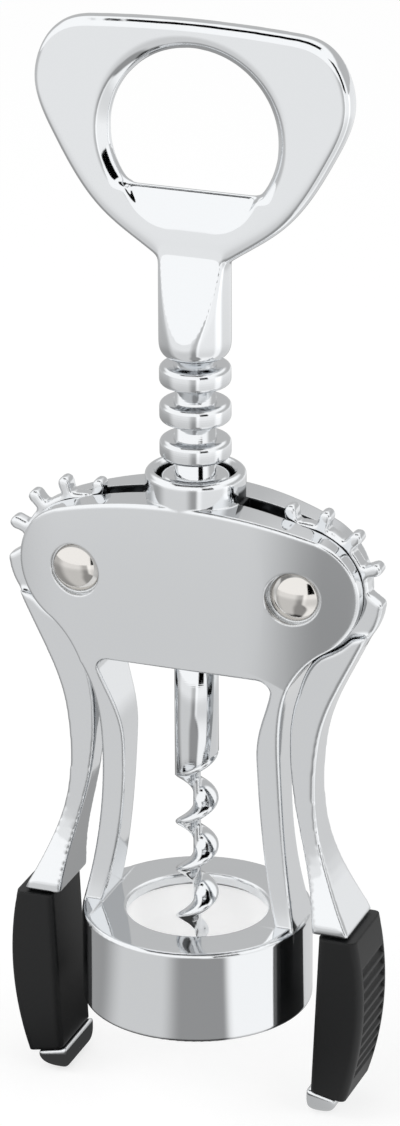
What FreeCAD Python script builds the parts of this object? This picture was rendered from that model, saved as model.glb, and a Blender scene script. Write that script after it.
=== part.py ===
import FreeCAD, Part
import math
import os
import re
import Sketcher

# Wing corkscrew, closed: arms down, screw raised. Millimetres, +Z up along the
# screw, +X across the arms, -Y towards the viewer. The origin is the centre of
# the bell's open underside.

V = FreeCAD.Vector
doc = FreeCAD.newDocument("wing_corkscrew")
dims = doc.addObject("Spreadsheet::Sheet", "Dims")

SIZES = [
    # socket for the bottle's mouth, its plastic liner, bell ring round both
    ("socket_bore", 30.4), ("socket_depth", 9.4), ("liner_wall", 1.7), ("liner_step", 3.25),
    ("liner_floor", 5.2), ("bell_wall", 1.8), ("bell_lip", 1.8), ("bell_lift", 0.8),
    ("bell_round", 0.6), ("throat_step", 0.4),
    # from the screw's spindle outwards: sleeve, rings, guide bore, boss, neck
    ("spindle_dia", 4.6), ("sleeve_wall", 0.9), ("ring_rise", 2.4), ("ring_thick", 3.0),
    ("ring_pitch", 6.1), ("ring_lift", 33.5), ("bore_gap", 0.47), ("boss_wall", 1.88),
    ("neck_gap", 0.37), ("running", 0.05),
    # casting: two cheeks joined under a boss, on two legs
    ("leg_tall", 44.1), ("leg_waist_rise", 28.6), ("leg_gap", 1.4), ("leg_waist_wide", 3.95),
    ("leg_waist_deep", 6.8), ("foot_inset", 0.55), ("foot_wide", 3.3), ("foot_deep", 9.4),
    ("toe_rise", 0.6), ("window_corner", 2.2), ("pivot_rise", 14.5), ("crown_rise", 13.4),
    ("boss_rise", 4.0), ("middle_depth", 16.0), ("cheek_bow", 100.0), ("cheek_rim", 5.95),
    ("cast_round", 0.5), ("boss_round", 0.9),
    # domed rivets the arms swing on, in shallow pockets
    ("rivet_dia", 5.0), ("rivet_rim", 1.1), ("rivet_dome", 1.8), ("pocket_gap", 0.75),
    ("pocket_deep", 3.0),
    # toothed sectors and the slot they turn in
    ("gear_pitch", 13.26), ("ring_mesh", 0.66), ("tooth_rise", 0.6), ("tooth_fall", 2.26),
    ("backlash", 1.1), ("tooth_lead", 0.35), ("sector_thick", 2.9), ("slot_gap", 0.3),
    ("swing_gap", 0.3), ("stop_drop", 0.45),
    # arms
    ("arm_thick", 5.4), ("arm_step", 0.8), ("arm_waist_drop", 28.5), ("arm_waist_set", 1.65),
    ("arm_waist_wide", 4.6), ("arm_long", 57.7), ("arm_clear", 2.95), ("arm_lip_wide", 6.3),
    # grips and the tips below them
    ("grip_set", 1.2), ("grip_gap", 0.3), ("grip_long", 27.6), ("grip_wide", 6.3),
    ("grip_deep", 13.2), ("grip_wall", 1.7), ("grip_lean", 1.3), ("grip_bow", 1.1),
    ("grip_slant", 1.2), ("grip_round", 1.1), ("rib_pitch", 2.05), ("rib_depth", 0.5),
    ("tip_long", 4.6), ("tip_set", 2.1), ("tip_wide", 5.2), ("tip_round", 0.8),
    # screw
    ("shank_step", 0.3), ("shank_long", 20.4), ("shank_slant", 4.6), ("worm_dia", 7.0),
    ("worm_core", 2.1), ("worm_pitch", 8.4), ("worm_clear", 2.3), ("worm_foot", 2.1),
    # opener head
    ("neck_lift", 2.5), ("neck_tall", 16.3), ("neck_round", 2.2), ("spindle_grip", 11.0),
    ("head_tall", 38.0), ("head_half", 25.9), ("head_deep", 4.2), ("head_round", 1.1),
    ("head_crown", 0.7), ("hole_rim", 4.5), ("hole_dia", 27.5), ("hole_tall", 22.4),
    ("hole_bevel", 1.9), ("lip_drop", 7.0), ("lip_thin", 1.3),
]
for row, (alias, value) in enumerate(SIZES, start=1):
    dims.set("A%d" % row, alias)
    dims.set("B%d" % row, str(value))
    dims.setAlias("B%d" % row, alias)
doc.recompute()

# Sizes that follow from others, so that pieces that fit keep fitting.
FORMULAS = {
    "liner_radius": "socket_bore / 2 + liner_wall",
    "throat_radius": "socket_bore / 2 - liner_step",
    "bell_radius": "liner_radius + running + bell_wall",
    "bell_top": "socket_depth + liner_floor + bell_lip",
    "bell_ceiling": "bell_top - bell_lip",
    "sleeve_bore": "spindle_dia + 2 * running",
    "core_radius": "sleeve_bore / 2 + sleeve_wall",
    "ring_radius": "core_radius + ring_rise",
    "bore_radius": "ring_radius + bore_gap",
    "boss_radius": "bore_radius + boss_wall",
    "neck_radius": "bore_radius - neck_gap",
    "leg_waist": "bell_top + leg_waist_rise",
    "leg_waist_out": "arm_waist_in - leg_gap",
    "foot_out": "bell_radius - foot_inset",
    "plate_base": "bell_top + leg_tall",
    "pivot_x": "gear_pitch + ring_radius - ring_mesh",
    "pivot_z": "plate_base + pivot_rise",
    "crown_top": "pivot_z + crown_rise",
    "boss_top": "crown_top + boss_rise",
    "pocket_radius": "rivet_dia / 2 + rivet_rim + pocket_gap",
    "pocket_floor": "middle_depth - 2 * pocket_deep",
    "pin_hole": "rivet_dia + 2 * running",
    "cheek_radius": "pocket_radius + cheek_rim",
    "gear_tip": "gear_pitch + tooth_rise",
    "gear_root": "gear_pitch - tooth_fall",
    "tooth_half": "(ring_pitch - ring_thick - backlash) / 2",
    "slot_width": "sector_thick + 2 * slot_gap",
    "arm_reach": "cheek_radius + arm_step",
    "arm_waist_in": "pivot_x - arm_waist_set",
    "arm_waist": "pivot_z - arm_waist_drop",
    "arm_lip": "pivot_z - arm_long",
    "arm_lip_in": "bell_radius + arm_clear",
    "arm_end_deep": "grip_deep - 0.8",
    "grip_in": "arm_lip_in + grip_set",
    "grip_out": "grip_in + grip_wide",
    "grip_top": "arm_lip - grip_gap",
    "grip_bottom": "grip_top - grip_long",
    "tip_in": "grip_in - tip_set",
    "tip_bottom": "grip_bottom - tip_long",
    "ring_top": "pivot_z + ring_lift",
    "neck_base": "ring_top + neck_lift",
    "sleeve_end": "ring_top - 7 * ring_pitch - ring_thick / 2 - 2.3",
    "shank_end": "sleeve_end - shank_long",
    "shank_radius": "core_radius + shank_step",
    "worm_low": "socket_depth + worm_clear",
    "spindle_top": "neck_base + spindle_grip",
    "head_base": "neck_base + neck_tall",
    "head_top": "head_base + head_tall",
    "hole_top": "head_top - hole_rim",
    "hole_flat": "hole_top - hole_tall",
    "hole_middle": "hole_top - hole_dia / 2",
}


def sheet(text):
    """Expression in which every name is led back to cells of the sheet."""
    def cell(found):
        name = found.group(0)
        if name in FORMULAS:
            return "(%s)" % sheet(FORMULAS[name])
        return "Dims." + name
    return re.sub(r"[a-z]\w*", cell, text)


def size(text):
    return float(dims.evalExpression(sheet(text)))


RINGS = 8
TEETH_UP = 7
RIBS = 10
PRESSURE = math.radians(15)
WORM_TURN = 80.6


def at(x, z, y=0.0):
    return V(x, y, z)


def line(a, b):
    return Part.LineSegment(a, b).toShape()


def arc(a, b, c):
    return Part.Arc(a, b, c).toShape()


def curve(points, start=None, end=None):
    spline = Part.BSplineCurve()
    if start is None:
        spline.interpolate(points)
    else:
        spline.interpolate(Points=points, InitialTangent=start, FinalTangent=end)
    return spline.toShape()


def polar(radius, degrees, centre=V(0, 0, 0)):
    a = math.radians(degrees)
    return centre + at(radius * math.cos(a), radius * math.sin(a))


def slab(edges, depth):
    """Closed outline in the XZ plane, extruded to `depth` across Y, centred."""
    face = Part.Face(Part.Wire(Part.__sortEdges__(edges)))
    return face.translated(V(0, -depth / 2.0, 0)).extrude(V(0, depth, 0))


def polygon(points):
    closed = points + points[:1]
    return [line(a, b) for a, b in zip(closed, closed[1:])]


def across(points, x0, x1):
    """Closed polygon of (y, z) pairs, extruded along X from x0 to x1."""
    ring = [V(x0, y, z) for y, z in points]
    face = Part.Face(Part.makePolygon(ring + ring[:1]))
    return face.extrude(V(x1 - x0, 0, 0))


def rod(dia, z0, z1):
    return Part.makeCylinder(dia / 2.0, z1 - z0, V(0, 0, z0))


def rod_across(dia, x, z, depth):
    return Part.makeCylinder(dia / 2.0, depth, V(x, -depth / 2.0, z), V(0, 1, 0))


def mirrored(shape):
    return shape.mirror(V(0, 0, 0), V(1, 0, 0))


def both_sides(shape):
    return [shape, mirrored(shape)]


def feature(name, shape):
    item = doc.addObject("Part::Feature", name)
    item.Label = name
    item.Shape = shape
    item.Placement = FreeCAD.Placement()
    return item


def origin_plane(body, role):
    return next(f for f in body.Origin.OriginFeatures if f.Role == role)


def hold(sketch, kind, i, expression):
    """One coordinate of corner i, bound to the sheet or kept on its axis."""
    if expression == "0":
        axis = -2 if kind == "DistanceX" else -1
        sketch.addConstraint(Sketcher.Constraint("PointOnObject", i, 1, axis))
        return
    constraint = Sketcher.Constraint(kind, -1, 1, i, 1, size(expression))
    index = sketch.addConstraint(constraint)
    sketch.setExpression("Constraints[%d]" % index, sheet(expression))


def turned_sketch(body, name, corners):
    """Half section on the body's XZ plane: (radius, height) formulas."""
    sketch = body.newObject("Sketcher::SketchObject", name)
    sketch.AttachmentSupport = [(origin_plane(body, "XZ_Plane"), "")]
    sketch.MapMode = "FlatFace"
    spots = [V(size(r), size(z), 0) for r, z in corners]
    count = len(spots)
    for i in range(count):
        sketch.addGeometry(Part.LineSegment(spots[i], spots[(i + 1) % count]), False)
    for i in range(count):
        sketch.addConstraint(Sketcher.Constraint("Coincident", i, 2, (i + 1) % count, 1))
    for i, (r, z) in enumerate(corners):
        hold(sketch, "DistanceX", i, r)
        hold(sketch, "DistanceY", i, z)
    return sketch


def turned(body, name, corners):
    """Revolution of a half section about the body's own Z axis."""
    sketch = turned_sketch(body, name + "_section", corners)
    turn = body.newObject("PartDesign::Revolution", name)
    turn.Profile = sketch
    turn.ReferenceAxis = (sketch, ["V_Axis"])
    turn.Angle = 360
    doc.recompute()
    return turn


def new_body(name):
    body = doc.addObject("PartDesign::Body", name)
    body.Label = name
    return body


def lens(bow, middle, z0, z1):
    """Space between two cheek faces bowed about Z, `middle` apart at X = 0."""
    back = bow - middle / 2.0
    front_disc = Part.makeCylinder(bow, z1 - z0, V(0, back, z0))
    rear_disc = Part.makeCylinder(bow, z1 - z0, V(0, -back, z0))
    return front_disc.common(rear_disc)


# Frame casting

def crown_arc_end(pivot):
    """Where the crown's arc runs into the round end of the cheek."""
    rise = size("crown_top") - pivot.z
    er = size("cheek_radius")
    # circle centred on X = 0 through the crown, tangent outside the cheek end
    crown = (pivot.x ** 2 + rise ** 2 - er ** 2) / (2 * (rise - er))
    middle = at(0, size("crown_top") - crown)
    along = pivot - middle
    along.normalize()
    return middle + along * crown


def leg_lines():
    """Inner and outer edge of the right leg, waist to foot, as (x, z)."""
    wo = size("leg_waist_out")
    wi = wo - size("leg_waist_wide")
    fo = size("foot_out")
    fi = fo - size("foot_wide")
    return size("leg_waist"), size("bell_top"), wi, wo, fi, fo


def frame_outline():
    pivot = at(size("pivot_x"), size("pivot_z"))
    er = size("cheek_radius")
    wz, fz, wi, wo, fi, fo = leg_lines()
    top = crown_arc_end(pivot)
    low = polar(er, -60, pivot)
    sole = size("bell_ceiling")
    base = size("plate_base")
    corner = size("window_corner")
    down = V(0, 0, -1)
    half = [
        arc(top, polar(er, 0, pivot), low),
        curve([low, at(wo, wz)], polar(1, -150), down),
        curve([at(wo, wz), at(fo, fz)], down, V(fo - wo, 0, -(wz - fz) * 0.45)),
        line(at(fo, fz), at(fo, sole)),
        line(at(fo, sole), at(fi, sole)),
        line(at(fi, sole), at(fi, fz)),
        curve([at(fi, fz), at(wi, wz)], V(-(fi - wi), 0, (wz - fz) * 0.45), V(0, 0, 1)),
        curve([at(wi, wz), at(fi - 0.4, base - corner)], V(0, 0, 1), V(0.25, 0, 1)),
        arc(at(fi - 0.4, base - corner), at(fi - 0.4 - corner * 0.25, base - corner * 0.3),
            at(fi - 0.4 - corner, base)),
    ]
    other = [mirrored(edge) for edge in half]
    crown = arc(at(-top.x, top.z), at(0, size("crown_top")), top)
    sill = line(at(fi - 0.4 - corner, base), at(corner + 0.4 - fi, base))
    return half + other + [crown, sill]


def side_profile():
    """How deep plate, legs and feet are at each height, seen from the side."""
    wz, fz, wi, wo, fi, fo = leg_lines()
    foot = size("foot_deep / 2")
    waist = size("leg_waist_deep / 2")
    full = size("middle_depth / 2") + 1
    base = size("plate_base")
    top = size("crown_top") + 5
    sole = size("bell_ceiling")
    front = curve([V(0, -foot, fz), V(0, -waist, wz), V(0, -full, base + 6)])
    rear = curve([V(0, foot, fz), V(0, waist, wz), V(0, full, base + 6)])
    edges = [
        front, rear,
        line(V(0, -foot, fz), V(0, -foot, sole)),
        line(V(0, -foot, sole), V(0, foot, sole)),
        line(V(0, foot, sole), V(0, foot, fz)),
        line(V(0, -full, base + 6), V(0, -full, top)),
        line(V(0, -full, top), V(0, full, top)),
        line(V(0, full, top), V(0, full, base + 6)),
    ]
    face = Part.Face(Part.Wire(Part.__sortEdges__(edges)))
    reach = size("pivot_x + cheek_radius") + 5
    return face.translated(V(-reach, 0, 0)).extrude(V(2 * reach, 0, 0))


def bell_ring():
    r = size("bell_radius")
    inner = size("liner_radius + running")
    hole = size("throat_radius - throat_step")
    z0 = size("bell_lift")
    z1 = size("bell_top")
    ceiling = size("bell_ceiling")
    rd = size("bell_round")
    c = 1 - math.sqrt(0.5)
    edges = [
        line(at(hole, ceiling), at(hole, z1 - 0.3)),
        line(at(hole, z1 - 0.3), at(hole + 0.3, z1)),
        line(at(hole + 0.3, z1), at(r - rd, z1)),
        arc(at(r - rd, z1), at(r - rd * c, z1 - rd * c), at(r, z1 - rd)),
        line(at(r, z1 - rd), at(r, z0 + rd)),
        arc(at(r, z0 + rd), at(r - rd * c, z0 + rd * c), at(r - rd, z0)),
        line(at(r - rd, z0), at(inner, z0)),
        line(at(inner, z0), at(inner, ceiling)),
        line(at(inner, ceiling), at(hole, ceiling)),
    ]
    face = Part.Face(Part.Wire(Part.__sortEdges__(edges)))
    return face.revolve(V(0, 0, 0), V(0, 0, 1), 360)


def toe_ramps():
    """Low ramps that run from each leg's foot out to the ring's edge."""
    fz = size("bell_top")
    y0 = size("foot_deep / 2")
    r = size("bell_radius - bell_round")
    fo = size("foot_out")
    fi = fo - size("foot_wide")
    edge = math.sqrt(r * r - fi * fi)
    section = [(-y0, fz + size("toe_rise")), (-edge, fz), (-edge, fz - 1), (-y0, fz - 1)]
    front = across(section, fi, fo).common(rod(2 * r, fz - 2, fz + 2))
    back = front.mirror(V(0, 0, 0), V(0, 1, 0))
    return both_sides(front) + both_sides(back)


def slot_space():
    """Room between the cheeks for both gear sectors and their arms."""
    width = size("slot_width")
    sweep = 2 * size("gear_tip + 2 * swing_gap")
    px = size("pivot_x")
    pz = size("pivot_z")
    beside = size("boss_radius + swing_gap")
    box = polygon([at(beside, pz + 5), at(px + 20, pz + 5), at(px + 20, pz + 20),
                   at(beside, pz + 20)])
    disc = rod_across(sweep, px, pz, width)
    return both_sides(disc) + both_sides(slab(box, width))


def cast_shell():
    """Cheeks and legs with their long edges rounded."""
    body = slab(frame_outline(), size("middle_depth") + 2)
    plan = lens(size("cheek_bow"), size("middle_depth"), 0, size("boss_top") + 5)
    body = body.common(plan).common(side_profile())
    top = size("bell_top")
    edges = [e for e in body.Edges
             if abs(e.CenterOfMass.y) > 2 and e.BoundBox.ZMax > top + 0.5 and e.Length > 1]
    return body.makeFillet(size("cast_round"), edges)


def boss():
    top = size("boss_top")
    solid = rod(size("2 * boss_radius"), size("pivot_z"), top)
    rim = [e for e in solid.Edges if e.BoundBox.ZMin > top - 0.1]
    return solid.makeFillet(size("boss_round"), rim)


def pivot_spaces():
    """Holes for the rivets and the pockets for their heads."""
    px = size("pivot_x")
    pz = size("pivot_z")
    deep = size("middle_depth")
    floor = size("pocket_floor / 2")
    spaces = both_sides(rod_across(size("pin_hole"), px, pz, deep + 2))
    for way in (-1, 1):
        pocket = Part.makeCylinder(size("pocket_radius"), deep, V(px, way * floor, pz), V(0, way, 0))
        spaces += both_sides(pocket)
    return spaces


def guide_bore():
    top = size("boss_top")
    r = size("bore_radius")
    bore = rod(2 * r, size("plate_base") - 5, top + 1)
    return [bore, Part.makeCone(r, r + 0.6, 0.6, V(0, 0, top - 0.6))]


def frame_casting():
    body = cast_shell().fuse([boss(), bell_ring()] + toe_ramps()).removeSplitter()
    return body.cut(slot_space() + guide_bore() + pivot_spaces())


# Bell liner

def bell_liner():
    body = new_body("bell_liner")
    turned(body, "liner_turn", [
        ("socket_bore / 2", "0"),
        ("liner_radius", "0"),
        ("liner_radius", "bell_ceiling"),
        ("throat_radius", "bell_ceiling"),
        ("throat_radius", "socket_depth"),
        ("socket_bore / 2", "socket_depth"),
    ])
    return body


# Rivets

def bound(kind, name, **formulas):
    """Part primitive whose properties are held to the sheet."""
    item = doc.addObject(kind, name)
    for prop, formula in formulas.items():
        item.setExpression(prop.replace("__", "."), sheet(formula))
    return item


def rivet(name, way):
    """Shank with a domed head at each end, laid through the cheeks along Y."""
    head = "(rivet_dia / 2 + rivet_rim)"
    ball = "((%s ^ 2 + rivet_dome ^ 2) / (2 * rivet_dome))" % head
    parts = [bound("Part::Cylinder", name + "_shank", Radius="rivet_dia / 2",
                   Height="pocket_floor", Placement__Base__z="-pocket_floor / 2")]
    for end, sign, low in (("front", "", "pocket_floor / 2"),
                           ("back", "-", "-pocket_floor / 2 - rivet_dome")):
        middle = "%s(pocket_floor / 2 + rivet_dome - %s)" % (sign, ball)
        cap = bound("Part::Sphere", name + "_ball_" + end, Radius=ball, Placement__Base__z=middle)
        collar = bound("Part::Cylinder", name + "_collar_" + end, Radius=head,
                       Height="rivet_dome", Placement__Base__z=low)
        dome = doc.addObject("Part::Common", name + "_dome_" + end)
        dome.Base = cap
        dome.Tool = collar
        parts.append(dome)
    whole = doc.addObject("Part::MultiFuse", name)
    whole.Label = name
    whole.Shapes = parts
    whole.Placement = FreeCAD.Placement(V(0, 0, 0), FreeCAD.Rotation(V(1, 0, 0), 90))
    whole.setExpression("Placement.Base.x", "%d * %s" % (way, sheet("pivot_x")))
    whole.setExpression("Placement.Base.z", sheet("pivot_z"))
    return whole


# Arms

def involute(angle):
    return math.tan(angle) - angle


def tooth_half_angle(radius):
    """Half the tooth's thickness at `radius`, in degrees."""
    rp = size("gear_pitch")
    base = rp * math.cos(PRESSURE)
    here = math.acos(min(1.0, base / radius))
    return math.degrees(size("tooth_half") / rp + involute(PRESSURE) - involute(here))


def tooth_phase():
    """Angle above the mesh line of the tooth nearest it, in degrees."""
    rp = size("gear_pitch")
    pitch = size("ring_pitch")
    below = size("ring_lift") - pitch / 2.0
    offset = below - pitch * round(below / pitch)
    return math.degrees((offset + size("tooth_lead")) / rp)


def tooth(centre, angle):
    """One rounded tooth: radial below the base circle, involute above."""
    base = size("gear_pitch") * math.cos(PRESSURE)
    tip = size("gear_tip")
    crest = tip - 0.75
    root = size("gear_root") - 0.4
    radii = [base, (base + crest) / 2.0, crest]
    left = [polar(r, angle + tooth_half_angle(r), centre) for r in radii]
    right = [polar(r, angle - tooth_half_angle(r), centre) for r in radii]
    wide = tooth_half_angle(base)
    foot_l = polar(root, angle + wide, centre)
    foot_r = polar(root, angle - wide, centre)
    edges = [
        line(foot_l, left[0]),
        curve(left),
        arc(left[2], polar(tip, angle, centre), right[2]),
        curve(right[::-1]),
        line(right[0], foot_r),
        line(foot_r, foot_l),
    ]
    return slab(edges, size("sector_thick"))


def gear_sector():
    """Thin toothed plate that turns between the cheeks (right hand)."""
    centre = at(size("pivot_x"), size("pivot_z"))
    step = math.degrees(size("ring_pitch") / size("gear_pitch"))
    first = 180 - tooth_phase()
    plate = rod_across(2 * size("gear_root"), centre.x, centre.z, size("sector_thick"))
    teeth = [tooth(centre, first - k * step) for k in range(-1, TEETH_UP)]
    stop = first - TEETH_UP * step
    web = stop_web(centre, stop)
    return plate.fuse(teeth + [slab(web, size("sector_thick"))]).removeSplitter()


def stop_web(centre, stop):
    """Web from the stop shoulder, below the last tooth, round to the arm."""
    edge = size("gear_tip - stop_drop")
    reach = size("arm_reach")
    top = polar(size("gear_root") - 0.4, stop + 10, centre)
    corner = polar(edge, stop + 1, centre)
    low = polar(edge - 0.2, -31, centre)
    beside = polar(reach + 2.7, -47, centre)
    under = polar(reach + 4.6, -82, centre)
    return [line(centre, top), line(top, corner), arc(corner, polar(edge, -18, centre), low),
            line(low, beside), line(beside, under), line(under, centre)]


def arm_outline():
    """Thick arm from the step beside the cheek down to the grip's lip."""
    c = at(size("pivot_x"), size("pivot_z"))
    r = size("arm_reach")
    wz = size("arm_waist")
    wi = size("arm_waist_in")
    wo = wi + size("arm_waist_wide")
    lz = size("arm_lip")
    li = size("arm_lip_in")
    lo = li + size("arm_lip_wide")
    inner_top = c + at(-0.2, -17.4)
    outer_top = polar(r + 1.8, -30, c)
    a = polar(r, -66, c)
    b = polar(r, -42, c)
    drop = wz - lz
    outer = curve([outer_top, c + at(7.3, -14.6), c + at(4.0, -22.6), at(wo, wz),
                   at(wo + 0.8, lz + drop * 0.5), at(wo + 3.2, lz + drop * 0.26), at(lo, lz)])
    inner = curve([at(li, lz), at(li - 1.0, lz + drop * 0.24), at(wi + 1.3, lz + drop * 0.64),
                   at(wi, wz), c + at(-1.35, -22.0), inner_top])
    return [
        outer,
        line(at(lo, lz), at(li, lz)),
        inner,
        curve([inner_top, a], at(0.25, 1), at(math.cos(math.radians(24)), math.sin(math.radians(24)))),
        arc(a, polar(r, -54, c), b),
        curve([b, outer_top], at(math.cos(math.radians(48)), math.sin(math.radians(48))), at(1, 0.35)),
    ]


def arm_depths():
    """Side view of the arm: even below the pivot, swelling to the lip."""
    h = size("arm_thick / 2")
    e = size("arm_end_deep / 2")
    wz = size("arm_waist")
    lz = size("arm_lip")
    mid = lz + (wz - lz) * 0.36
    top = size("pivot_z") + 5
    edges = []
    for way in (-1, 1):
        edges.append(line(V(0, way * h, top), V(0, way * h, wz)))
        edges.append(curve([V(0, way * h, wz), V(0, way * (h + 0.32 * (e - h)), mid),
                            V(0, way * e, lz + 1.2)], V(0, 0, -1), V(0, way * 0.25, -1)))
        edges.append(line(V(0, way * e, lz + 1.2), V(0, way * e, lz - 1)))
    edges.append(line(V(0, -h, top), V(0, h, top)))
    edges.append(line(V(0, -e, lz - 1), V(0, e, lz - 1)))
    face = Part.Face(Part.Wire(Part.__sortEdges__(edges)))
    return face.extrude(V(size("pivot_x") + 40, 0, 0))


def outer_circle():
    """Circle of the grip's bowed outer edge."""
    x = size("grip_out")
    z0 = size("grip_bottom")
    z1 = size("grip_top")
    low = at(x - size("grip_lean"), z0)
    middle = at(x + size("grip_bow"), (z0 + z1) / 2.0)
    return Part.Arc(low, middle, at(x, z1)).toShape().Curve


def bowed_edge(inset, z0, z1):
    """Grip's outer edge, drawn in by `inset`, from z0 up to z1."""
    circle = outer_circle()
    radius = circle.Radius - inset
    spots = []
    for z in (z0, (z0 + z1) / 2.0, z1):
        across_circle = math.sqrt(radius ** 2 - (z - circle.Center.z) ** 2)
        spots.append(at(circle.Center.x + across_circle, z))
    return arc(*spots), spots[0], spots[2]


def straight_edge(inset, z0, z1):
    """Grip's leaning inner edge, moved out by `inset`, from z0 up to z1."""
    top = size("grip_top")
    lean = size("grip_lean / grip_long")
    x = size("grip_in") + inset * math.sqrt(1 + lean * lean)
    low = at(x - lean * (top - z0), z0)
    high = at(x - lean * (top - z1), z1)
    return line(low, high), low, high


def grip_outline(inset, over):
    """Front outline of the grip, shrunk by `inset`, lengthened by `over`."""
    z0 = size("grip_bottom") - over
    z1 = size("grip_top") + over
    inner, in_low, in_top = straight_edge(inset, z0, z1)
    outer, out_low, out_top = bowed_edge(inset, z0 - size("grip_slant"), z1)
    return [outer, inner, line(in_top, out_top), line(in_low, out_low)]


def lever_tip():
    """Rounded tongue that shows below the grip."""
    xi = size("tip_in")
    xo = size("tip_in + tip_wide")
    z0 = size("tip_bottom")
    z1 = size("grip_bottom")
    front = [
        line(at(xi, z1), at(xi, z0 + 1.7)),
        arc(at(xi, z0 + 1.7), at(xi + 0.5, z0 + 0.5), at(xi + 1.7, z0)),
        arc(at(xi + 1.7, z0), at((xi + xo) / 2.0 + 1.0, z0 + 0.45), at(xo, z1 - 1.3)),
        line(at(xo, z1 - 1.3), at(xi, z1)),
    ]
    half = size("arm_end_deep / 2")
    side = [
        line(V(0, -half, z1 + 1), V(0, half, z1 + 1)),
        line(V(0, -half, z1 + 1), V(0, -half, z0 + 2.8)),
        line(V(0, half, z1 + 1), V(0, half, z0 + 2.8)),
        arc(V(0, -half, z0 + 2.8), V(0, -half + 1.0, z0 + 0.7), V(0, -half + 3.2, z0 - 0.2)),
        arc(V(0, half, z0 + 2.8), V(0, half - 1.0, z0 + 0.7), V(0, half - 3.2, z0 - 0.2)),
        line(V(0, -half + 3.2, z0 - 0.2), V(0, half - 3.2, z0 - 0.2)),
    ]
    face = Part.Face(Part.Wire(Part.__sortEdges__(side)))
    return slab(front, 2 * half).common(face.extrude(V(xo + 10, 0, 0)))


def lever():
    wall = size("grip_wall")
    arm = slab(arm_outline(), size("arm_end_deep") + 2).common(arm_depths())
    tang = slab(grip_outline(wall, 0.5), size("grip_deep") - 2 * wall)
    body = arm.fuse([gear_sector(), tang, lever_tip()]).removeSplitter()
    return body.cut(rod_across(size("pin_hole"), size("pivot_x"), size("pivot_z"),
                               size("middle_depth")))


# Grips

def grip():
    deep = size("grip_deep")
    block = slab(grip_outline(0, 0), deep)
    long_edges = [e for e in block.Edges
                  if abs(abs(e.CenterOfMass.y) - deep / 2.0) < 1e-6 and e.BoundBox.ZLength > 5]
    block = block.makeFillet(size("grip_round"), long_edges)
    snug = size("grip_wall - running")
    return block.cut([slab(grip_outline(snug, 2), deep - 2 * snug)] + rib_grooves())


def rib_grooves():
    """Round-bottomed grooves across the grip's outer face."""
    outer = outer_circle()
    r = 0.75
    middle = size("(grip_top + grip_bottom) / 2 - grip_slant")
    grooves = []
    for k in range(RIBS):
        z = middle + (k - (RIBS - 1) / 2.0) * size("rib_pitch")
        x = outer.Center.x + math.sqrt(outer.Radius ** 2 - (z - outer.Center.z) ** 2)
        grooves.append(rod_across(2 * r, x + r - size("rib_depth"), z, size("grip_deep") - 3.0))
    return grooves


# Rack sleeve

def rack_sleeve():
    """Tube with rounded rings, each bound to the sheet."""
    tube = bound("Part::Cylinder", "sleeve_tube", Radius="core_radius",
                 Height="neck_base - running - sleeve_end", Placement__Base__z="sleeve_end")
    parts = [tube]
    for k in range(RINGS):
        ring = bound("Part::Torus", "sleeve_ring_%d" % (k + 1), Radius2="ring_thick / 2",
                     Radius1="ring_radius - ring_thick / 2",
                     Placement__Base__z="ring_top - %d * ring_pitch" % k)
        parts.append(ring)
    solid = doc.addObject("Part::MultiFuse", "sleeve_solid")
    solid.Shapes = parts
    bore = bound("Part::Cylinder", "sleeve_bore_space", Radius="sleeve_bore / 2",
                 Height="neck_base - sleeve_end + 20", Placement__Base__z="sleeve_end - 10")
    sleeve = doc.addObject("Part::Cut", "rack_sleeve")
    sleeve.Label = "rack_sleeve"
    sleeve.Base = solid
    sleeve.Tool = bore
    return sleeve


# Screw

def worm_blade():
    """Sharp helical blade with hollow flanks, right hand, at its full radius."""
    r = size("worm_dia / 2")
    z0 = size("worm_low")
    tall = size("shank_end") + 0.3 - z0
    root = size("worm_core") * 0.28
    foot = size("worm_foot")
    helix = Part.makeLongHelix(size("worm_pitch"), tall, r, 0, False)
    flank = root + 0.3 * (r - root)
    ring = [at(root, -foot), at(flank, -0.45 * foot), at(r, 0), at(flank, 0.45 * foot),
            at(root, foot)]
    pipe = Part.BRepOffsetAPI.MakePipeShell(Part.Wire(helix))
    pipe.setFrenetMode(True)
    pipe.add(Part.Wire(polygon(ring)))
    pipe.build()
    pipe.makeSolid()
    blade = pipe.shape()
    blade.rotate(V(0, 0, 0), V(0, 0, 1), WORM_TURN)
    blade.translate(V(0, 0, z0))
    return blade


def screw():
    foot = size("sleeve_end - running")
    low = size("shank_end")
    reach = size("2 * shank_radius")
    slant = size("shank_slant")
    shank = rod(reach, low - slant / 2.0, foot)
    # the shank's end is cut on the slant where the blade runs into it
    wedge = slab(polygon([at(-reach, low - slant), at(reach, low + slant), at(reach, low - 12),
                          at(-reach, low - 12)]), 3 * reach)
    spindle = rod(size("spindle_dia"), foot - 0.5, size("spindle_top"))
    core = size("worm_core")
    point = Part.makeCone(0.3, core / 2.0, 9, V(0, 0, size("worm_low")))
    stem = rod(core, size("worm_low") + 8.5, foot - 2)
    return shank.cut(wedge).fuse([spindle, point, stem, worm_blade()])


# Opener head

def head_outline():
    """Rounded triangle: flat arc on top, corners and convex sides below."""
    w = size("head_half")
    top = size("head_top")
    base = size("head_base")
    tall = top - base
    sag = size("head_crown")
    neck = size("neck_radius") + 0.3
    shoulder = at(w * 0.66, top - sag)
    lean = 2 * sag * shoulder.x / (shoulder.x ** 2 - sag ** 2)
    side = [at(neck, base), at(w * 0.57, base + tall * 0.165), at(w * 0.885, base + tall * 0.475),
            at(w, base + tall * 0.70), at(w * 0.925, base + tall * 0.88), shoulder]
    right = curve(side, at(1, 0.72), at(-1, lean))
    crown = arc(shoulder, at(0, top), at(-shoulder.x, shoulder.z))
    return [right, mirrored(right), crown, line(at(-neck, base), at(neck, base))]


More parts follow.
